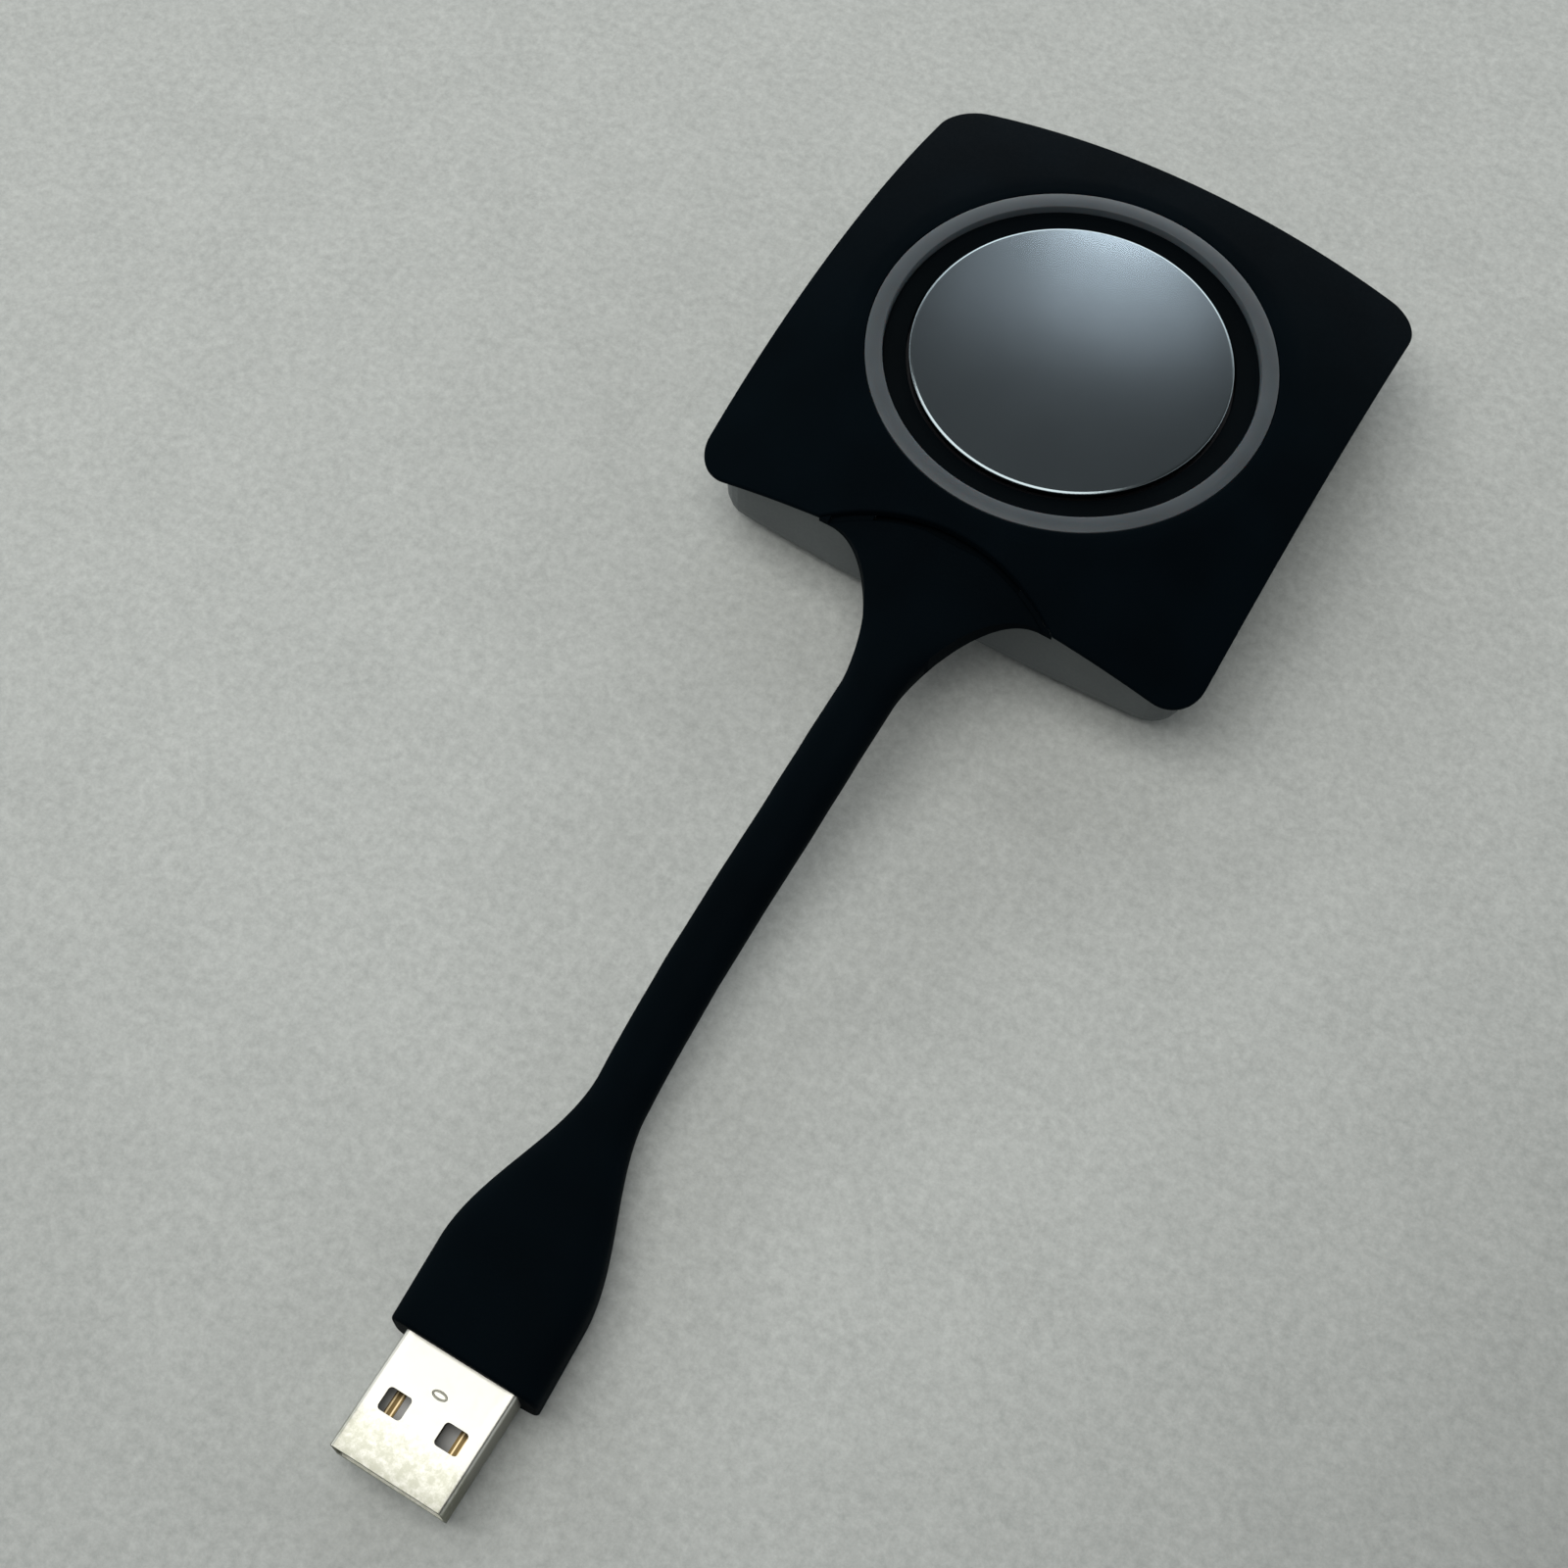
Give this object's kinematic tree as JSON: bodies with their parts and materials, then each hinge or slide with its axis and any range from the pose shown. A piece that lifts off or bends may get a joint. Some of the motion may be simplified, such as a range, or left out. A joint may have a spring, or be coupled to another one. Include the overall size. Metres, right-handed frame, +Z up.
{
  "type": "wireless presentation dongle",
  "caption": "Square table-top dongle with a domed cover, a large round push button in a ring of light, and a short flat cable that ends in a USB-A plug.",
  "frame": {"origin": "on the table under the middle of the square head", "axes": "+Z up from the table, -Y along the cable towards the plug, +X to the right when the plug points at the viewer"},
  "size_m": [0.0594, 0.162, 0.0163],
  "materials": {
    "cover_black": "fine matte texture with a soft-touch coat",
    "ring_diffuser": "frosted translucent",
    "bezel_black": "satin black",
    "button_metal": "satin with a bright chamfer",
    "carrier_plastic": "moulded",
    "switch_plastic": "moulded",
    "plunger_plastic": "moulded",
    "shell_grey": "fine moulded texture",
    "board_green": "solder mask",
    "can_metal": "tin plate",
    "chip_black": "moulded epoxy",
    "inductor_grey": "ferrite",
    "capacitor_tan": "ceramic",
    "antenna_white": "ceramic",
    "led_white": "clear moulded",
    "connector_ivory": "moulded",
    "wire_red": "extruded sleeve",
    "screw_steel": "zinc plated",
    "foot_rubber": "matte",
    "mould_rubber": "matte soft elastomer",
    "plug_metal": "bright nickel plate",
    "tongue_plastic": "moulded",
    "contact_gold": "gold flash"
  },
  "bodies": {
    "housing": {"top_cover": "cover_black", "light_ring": "ring_diffuser", "inner_bezel": "bezel_black", "switch_body": "switch_plastic", "bottom_shell": "shell_grey", "main_board": "board_green", "shield_can": "can_metal", "processor_chip": "chip_black", "memory_chip": "chip_black", "crystal": "can_metal", "power_inductor": "inductor_grey", "board_capacitors": "capacitor_tan", "antenna_left": "antenna_white", "antenna_right": "antenna_white", "status_leds": "led_white", "board_connector": "connector_ivory", "cable_wires": "wire_red", "board_screws": "screw_steel", "housing_screws": "screw_steel", "rubber_feet": "foot_rubber", "cable_collar": "mould_rubber", "flat_cable": "mould_rubber", "plug_boot": "mould_rubber", "usb_shell": "plug_metal", "usb_tongue": "tongue_plastic", "usb_contacts": "contact_gold"},
    "button": {"button_cap": "button_metal", "button_carrier": "carrier_plastic"},
    "plunger": {"switch_plunger": "plunger_plastic"}
  },
  "joints": [
    {"name": "button_press", "type": "slide", "parent": "housing", "child": "button", "axis": [0, 0, -1], "range_m": [0, 0.0005], "stiffness_N_per_m": 4000},
    {"name": "plunger_press", "type": "slide", "parent": "housing", "child": "plunger", "axis": [0, 0, -1], "range_m": [0, 0.0005]}
  ],
  "couplings": [
    {"joint": "plunger_press", "follows": "button_press", "ratio": 1}
  ]
}
